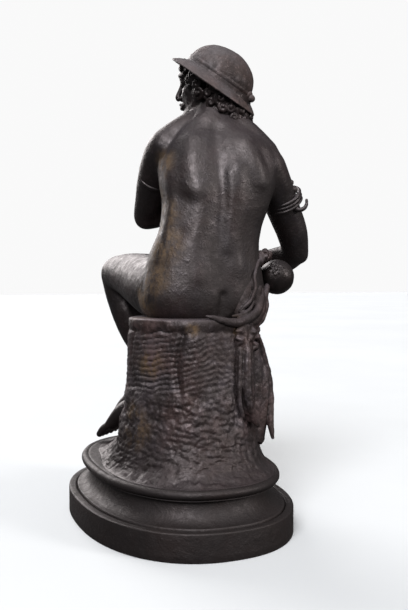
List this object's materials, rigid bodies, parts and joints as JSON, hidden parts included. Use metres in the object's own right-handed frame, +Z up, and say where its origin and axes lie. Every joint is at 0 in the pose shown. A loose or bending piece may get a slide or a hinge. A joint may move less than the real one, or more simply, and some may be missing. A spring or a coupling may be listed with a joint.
{
  "type": "cast iron garden statue",
  "caption": "Seated youth in a brimmed hat on a draped tree stump, over an oval moulded base; stands by its own weight.",
  "frame": {"origin": "centre of the oval underside, on the ground", "axes": "+Z up, the figure faces -Y, its left side is +X, long axis of the oval base along Y"},
  "size_m": [0.7019, 0.84, 1.3534],
  "materials": {
    "figure_iron": "satin dark brown-black paint over iron, grey sheen, rust-brown patches, pitted hat",
    "plinth_iron": "dull dark brown paint over iron, greyer on top faces, fine pitting"
  },
  "bodies": {
    "root": {"casting": "figure_iron", "plinth": "plinth_iron"}
  },
  "joints": []
}
